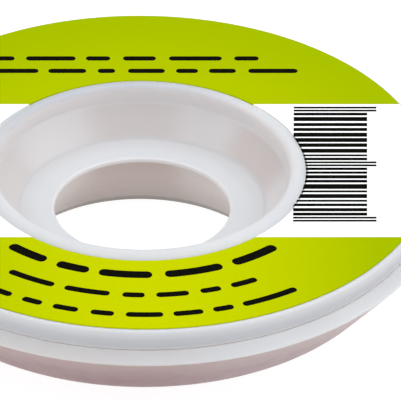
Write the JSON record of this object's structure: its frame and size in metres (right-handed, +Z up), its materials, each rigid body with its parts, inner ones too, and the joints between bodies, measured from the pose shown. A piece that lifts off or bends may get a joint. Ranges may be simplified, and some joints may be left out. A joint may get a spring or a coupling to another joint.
{
  "type": "desoldering braid in a dispenser case",
  "caption": "Copper desoldering braid wound up in a flat white plastic dispenser case with a cup and bore in its middle and a green and white paper ring label.",
  "frame": {"origin": "middle of the underside, on the surface that the case lies on", "axes": "+Z up along the axis of the turned case, from the foot to the lip of the cup; the label's white band runs along X"},
  "size_m": [0.045, 0.045, 0.0096],
  "materials": {
    "cap_plastic": "satin, slightly translucent white",
    "dish_plastic": "satin, slightly translucent white with the copper showing through",
    "braid_copper": "bare woven copper",
    "label_paper": "coated paper, yellow-green with a white band"
  },
  "bodies": {
    "root": {"upper_shell": "cap_plastic", "lower_shell": "dish_plastic", "braid_coil": "braid_copper", "label": "label_paper"}
  },
  "joints": []
}
